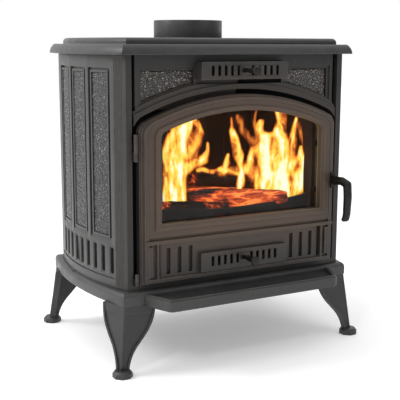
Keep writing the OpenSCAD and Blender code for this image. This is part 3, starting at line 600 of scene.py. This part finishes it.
def make_log(name, a, b, r, seed, split, mat, flat=0.55, wob=1.0, nl=110, nr=60):
    """Split log between two points. split: direction, in degrees round its axis, of the cleft face."""
    a, b = Vector(a), Vector(b)
    ax = (b - a).normalized()
    L = (b - a).length
    side = ax.cross(Vector((0, 0, 1))).normalized()
    up = side.cross(ax).normalized()
    V, Fc = [], []
    for i in range(nl + 1):
        t = i / nl
        bend = 0.004 * wob * math.sin(t * 3.1 + seed)
        for j in range(nr):
            th = 2 * math.pi * j / nr
            rr = r
            for sp in split:
                dl = math.cos(th - math.radians(sp))
                if dl > 1e-3:
                    rr = min(rr, r * flat / dl)
            cleft = rr < r * 0.999
            p = Vector((t * L * 9, math.cos(th) * r * 160, math.sin(th) * r * 160)) + Vector((seed, seed, 0))
            if cleft:      # fibrous split face: ridges along the grain
                rr += 0.0016 * noise.noise(Vector((t * L * 10 + seed, th * 9.0, seed))) + 0.0010 * noise.noise(Vector((t * L * 30, th * 26.0, seed + 5)))
                rr += 0.0024 * noise.noise(Vector((t * L * 16, th * 3.0, seed + 9)))
            else:          # bark: plates and furrows
                d = noise.voronoi(Vector((t * L * 38 + seed, th * r * 130, seed)))[0]
                rr += 0.0030 * (min(0.55, d[1] - d[0]) - 0.25) + 0.0012 * noise.noise(p * 2.0)
            # charred, crumbling ends
            en = min(t, 1 - t) * L
            if en < 0.012:
                rr *= 0.86 + 0.14 * (en / 0.012) ** 0.5
            end = (0.004 * noise.noise(Vector((th * 2.0, seed, t * 3)))) if i in (0, nl) else 0.0
            V.append(a + ax * (t * L + end) + side * (math.cos(th) * rr) + up * (math.sin(th) * rr + bend))
    for i in range(nl):
        for j in range(nr):
            k = (j + 1) % nr
            Fc.append((i * nr + j, i * nr + k, (i + 1) * nr + k, (i + 1) * nr + j))
    rings = 8
    for e_ in (0, 1):                      # end faces with growth rings
        base = 0 if e_ == 0 else nl * nr
        cen = sum((V[base + j] for j in range(nr)), Vector()) / nr
        prev = [base + j for j in range(nr)]
        for q in range(1, rings):
            f = 1 - q / rings
            cur = []
            for j in range(nr):
                P = cen + (V[base + j] - cen) * f
                P = P + ax * ((-1 if e_ == 0 else 1) * (0.0009 * math.sin(f * 40 + seed) + 0.0012 * noise.noise(P * 160)))
                cur.append(len(V))
                V.append(P)
            for j in range(nr):
                k = (j + 1) % nr
                Fc.append((prev[j], cur[j], cur[k], prev[k]) if e_ == 0 else (prev[j], prev[k], cur[k], cur[j]))
            prev = cur
        V.append(cen)
        for j in range(nr):
            k = (j + 1) % nr
            Fc.append((prev[j], len(V) - 1, prev[k]) if e_ == 0 else (prev[j], prev[k], len(V) - 1))
    o = add_mesh(name, V, Fc)
    bb = bmesh.new()
    bb.from_mesh(o.data)
    bmesh.ops.recalc_face_normals(bb, faces=bb.faces)
    bb.to_mesh(o.data)
    bb.free()
    for p in o.data.polygons:
        p.use_smooth = True
    o.data.materials.append(mat.m)
    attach(o, "stove_body")
    return o


def F_(x, y, z):
    return (x / 1000.0, y / 1000.0 + Y0, z / 1000.0)


hot_m = ember_mat("log_glowing", 0.62, 42.0, 0.03, streak=(0.22, 1.9, 1.9), seed=2.0, strength=1.25)
char_m = ember_mat("log_charred", 0.18, 62.0, 0.011, seed=5.0, strength=1.2)
char2_m = ember_mat("log_low", 0.30, 70.0, 0.010, seed=9.0, strength=0.9)
coal_m = ember_mat("embers", 0.45, 75.0, 0.014, seed=1.0, strength=1.5)
logs = [
    make_log("log_front", F_(-68, -62, 316), F_(150, -120, 308), 0.0300, 1.3, (205, 95), hot_m, 0.60),
    make_log("log_back", F_(-74, -2, 348), F_(212, -68, 343), 0.0250, 4.1, (80, 300), char_m, 0.8),
    make_log("log_low", F_(-176, -118, 299), F_(6, -122, 293), 0.0210, 7.7, (60,), char2_m, 0.75),
    make_log("log_deep", F_(-150, 70, 312), F_(160, 52, 312), 0.0300, 9.2, (70, 200), char_m, 0.75, nl=70, nr=40),
]
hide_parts("firewood")


def bed_h(x, y):
    h = 0.283 + 0.010 * noise.noise(Vector((x * 22, y * 22, 4.0)))
    h += 0.022 * math.exp(-((x - 0.155) ** 2) / 0.0022 - ((y + 0.108 - Y0) ** 2) / 0.0012)
    h += 0.010 * math.exp(-((x + 0.10) ** 2) / 0.004 - ((y + 0.10 - Y0) ** 2) / 0.002)
    d = noise.voronoi(Vector((x * 62, y * 62, 2.0)))[0]
    h += 0.010 * (0.5 - min(1.0, d[0])) + 0.003 * noise.noise(Vector((x * 190, y * 190, 1.0)))
    return h


def bed_o(u, v):
    x, y = -0.200 + 0.400 * u, -0.131 + 0.255 * v + Y0
    f = min(1.0, min(u * 400, (1 - u) * 400, v * 255, (1 - v) * 255) / 14.0)
    return (x, y, 0.2635 + (bed_h(x, y) - 0.2635) * f ** 0.6 + 0.0004)


def bed_i(u, v):
    return (-0.200 + 0.400 * u, -0.131 + 0.255 * v + Y0, 0.2628)


bed = slab_grid("ember_bed", 150, 96, bed_o, bed_i)
bed.data.materials.append(coal_m.m)
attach(bed, "stove_body")

# ------------------------------------------------------------------ flames
# Each tongue: points (along the sheet, height, half width) in millimetres, then its heat.
CAM = m.translation.copy()


def on_sheet(u, v, y):
    """Where the view line of picture point (u, v) meets the plane y, in millimetres: x and z."""
    d = (F * 880.6288 + R2 * (u - 200.0) - U2 * (v - 200.0)).normalized()
    t = (y / 1000.0 + Y0 - CAM.y) / d.y
    P = CAM + d * t
    return P.x * 1000.0, P.z * 1000.0


def tongue(pts, heat, y):
    out = []
    for X, Y, W in pts:
        x, z = on_sheet(150 + X / 8.0, 100 + Y / 8.0, y)
        out.append((x, z, W / 8.0 * 1.95 * 0.5))
    return out, heat


def flame_sheet(name, y, tongues, x0, x1, z0, z1, step, seed, mat, bow=6.0, warp=1.0):
    T = [tongue(p, h, y) for p, h in tongues]
    nx, nz = int((x1 - x0) / step), int((z1 - z0) / step)
    V, Fc, H = [], [], []
    for j in range(nz + 1):
        for i in range(nx + 1):
            x, z = x0 + (x1 - x0) * i / nx, z0 + (z1 - z0) * j / nz
            k = max(0.0, (z - 300.0) / 190.0)
            wx = x + warp * (4.0 + 9.0 * k) * noise.noise(Vector((x * 0.022 + seed, z * 0.016, seed))) \
                + warp * (2.0 + 3.5 * k) * noise.noise(Vector((x * 0.07, z * 0.035 + seed, 3.0)))
            wz = z + warp * 6.0 * noise.noise(Vector((x * 0.05, z * 0.03, seed + 7)))
            h = 0.0
            for pts, heat in T:
                best = 0.0
                for (xa, za, ra), (xb, zb, rb) in zip(pts, pts[1:]):
                    dx, dz = xb - xa, zb - za
                    L2 = dx * dx + dz * dz
                    t = max(0.0, min(1.0, ((wx - xa) * dx + (wz - za) * dz) / L2))
                    rr = ra + (rb - ra) * t
                    dd = math.hypot(wx - xa - dx * t, wz - za - dz * t)
                    q = 1.0 - dd / (rr * 2.1 + 4.0)
                    if q > best:
                        best = q
                if best > 0.0:
                    s_ = best * best * (3 - 2 * best) if best < 1 else 1.0
                    h = 1.0 - (1.0 - h) * (1.0 - min(1.0, s_ * 0.92) * heat)
            # licks inside the body of the flame
            st = 0.5 + 0.9 * noise.fractal(Vector((wx * 0.085, wz * 0.024, seed)), 0.6, 2.0, 4)
            h *= 0.50 + 0.80 * st
            H.append(max(0.0, min(1.0, h)))
            V.append((x / 1000.0, (y + bow * noise.noise(Vector((x * 0.012, z * 0.01, seed)))) / 1000.0 + Y0, z / 1000.0))
    keep, lev = [], []
    ix = lambda i, j: j * (nx + 1) + i
    for j in range(nz):
        for i in range(nx):
            q = (ix(i, j), ix(i + 1, j), ix(i + 1, j + 1), ix(i, j + 1))
            g = sum(H[a] for a in q) / 4.0
            if g > 0.05:
                keep.append(q)
                lev.append(min(len(mat) - 1, int(g * len(mat))))
    used = sorted({a for q in keep for a in q})
    re_ = {a: k for k, a in enumerate(used)}
    o = add_mesh(name, [V[a] for a in used], [tuple(re_[a] for a in q) for q in keep])
    for M in mat:
        o.data.materials.append(M.m)
    o.data.polygons.foreach_set("material_index", lev)
    th = o.modifiers.new("thickness", "SOLIDIFY")
    th.thickness = 0.0004
    th.offset = 1.0
    for p in o.data.polygons:
        p.use_smooth = True
    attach(o, "stove_body")
    o.visible_shadow = False
    return o


LEVELS = 14


def flame_mat(name, strength, alpha_gain):
    """One material for each step of heat, from the dim fringe to the white core."""
    out = []
    for k in range(LEVELS):
        M = Mat("%s_%02d" % (name, k))
        vec = M.mapping((1.0, 1.0, 0.32))
        n = M.noise(105.0, 4, 0.6, vec, 0.6)
        hh = M.math("MULTIPLY", M.maprange(n, 0.25, 0.75, 0.82, 1.16), (k + 0.5) / LEVELS, clamp=True)
        col = M.ramp(hh, [(0.0, (0.30, 0.03, 0.008)), (0.14, (0.50, 0.075, 0.015)), (0.28, (0.93, 0.26, 0.035)),
                          (0.42, (1.0, 0.50, 0.055)), (0.60, (1.0, 0.76, 0.10)), (0.80, (1.0, 0.93, 0.30)), (0.97, (1.0, 1.0, 0.78))])
        M.link(col, M.bsdf.inputs["Emission Color"])
        M.bsdf.inputs["Emission Strength"].default_value = strength
        M.base(0.0).rough(1.0).set(Specular_IOR_Level=0.0)
        M.link(M.maprange(hh, 0.03, 0.36, 0.0, alpha_gain, True), M.bsdf.inputs["Alpha"])
        out.append(M)
    return out


fl1 = flame_mat("flame_front", 1.12, 0.96)
fl2 = flame_mat("flame_back", 0.9, 0.80)
front_T = [
    ([(185, 820, 60), (200, 620, 80), (215, 450, 120), (245, 340, 130), (285, 250, 90), (340, 175, 40)], 1.0),
    ([(120, 560, 20), (125, 420, 40), (150, 300, 50), (220, 230, 50)], 0.7),
    ([(320, 440, 40), (375, 330, 45), (402, 245, 30), (380, 150, 12)], 0.55),
    ([(240, 600, 60), (330, 530, 60), (425, 485, 45), (452, 410, 20), (456, 355, 5)], 0.8),
    ([(265, 790, 30), (268, 650, 34), (262, 520, 50)], 0.85),
    ([(108, 820, 40), (118, 720, 34), (112, 625, 20)], 0.75),
    ([(180, 800, 160), (190, 700, 90)], 0.8),
    ([(400, 572, 16), (560, 562, 18), (700, 578, 14)], 0.55),
    ([(598, 560, 40), (628, 505, 20), (641, 448, 6)], 0.8),
    ([(722, 700, 34), (722, 600, 34), (728, 545, 30), (708, 450, 44), (700, 380, 34), (688, 300, 22), (668, 235, 14)], 0.95),
    ([(668, 235, 26), (655, 150, 12)], 0.32),
    ([(770, 560, 50), (800, 480, 50), (830, 410, 44), (870, 380, 50)], 0.8),
    ([(930, 770, 60), (935, 640, 150), (940, 500, 150), (925, 380, 110), (900, 300, 50), (888, 240, 24), (880, 165, 8)], 0.98),
    ([(1010, 780, 60), (1040, 640, 120), (1045, 450, 110), (1040, 340, 90), (1035, 240, 52), (1050, 150, 56), (1050, 90, 60)], 0.98),
    ([(930, 290, 30), (985, 285, 30), (1020, 250, 40)], 0.72),
    ([(1110, 480, 80), (1120, 380, 60), (1132, 290, 42), (1148, 200, 26), (1155, 140, 12)], 0.72),
    ([(1120, 740, 90), (1180, 680, 110), (1225, 600, 72), (1228, 520, 56), (1210, 450, 40), (1208, 380, 12)], 1.0),
    ([(1060, 590, 40), (1075, 660, 50), (1110, 720, 80)], 1.0),
    ([(1255, 770, 40), (1280, 650, 36), (1290, 520, 34), (1300, 430, 20)], 0.45),
    ([(850, 720, 26), (840, 650, 16), (845, 600, 8)], 0.8),
    ([(912, 740, 26), (905, 650, 14)], 0.85),
    ([(1140, 520, 60), (1200, 470, 40)], 0.7),
    ([(840, 600, 90), (1000, 560, 120), (1180, 600, 90)], 0.5),
]
back_T = [
    ([(870, 390, 60), (800, 310, 44), (740, 220, 34), (705, 130, 20)], 0.34),
    ([(860, 330, 24), (850, 200, 18), (860, 90, 12)], 0.30),
    ([(300, 500, 90), (380, 350, 60), (390, 200, 26)], 0.30),
    ([(1180, 500, 120), (1240, 380, 70), (1200, 260, 50), (1160, 200, 30)], 0.32),
    ([(980, 620, 260), (1000, 480, 220), (990, 360, 120)], 0.5),
    ([(1300, 600, 60), (1310, 470, 50), (1290, 420, 26)], 0.36),
    ([(180, 700, 160), (200, 520, 150), (240, 330, 120)], 0.5),
    ([(560, 570, 40), (900, 560, 60)], 0.45),
]
flame_sheet("flames_front", -104, front_T, -140, 214, 292, 500, 1.7, 2.3, fl1, bow=8.0, warp=1.15)
flame_sheet("flames_back", -84, back_T, -128, 222, 296, 498, 2.2, 8.1, fl2, bow=10.0, warp=1.2)
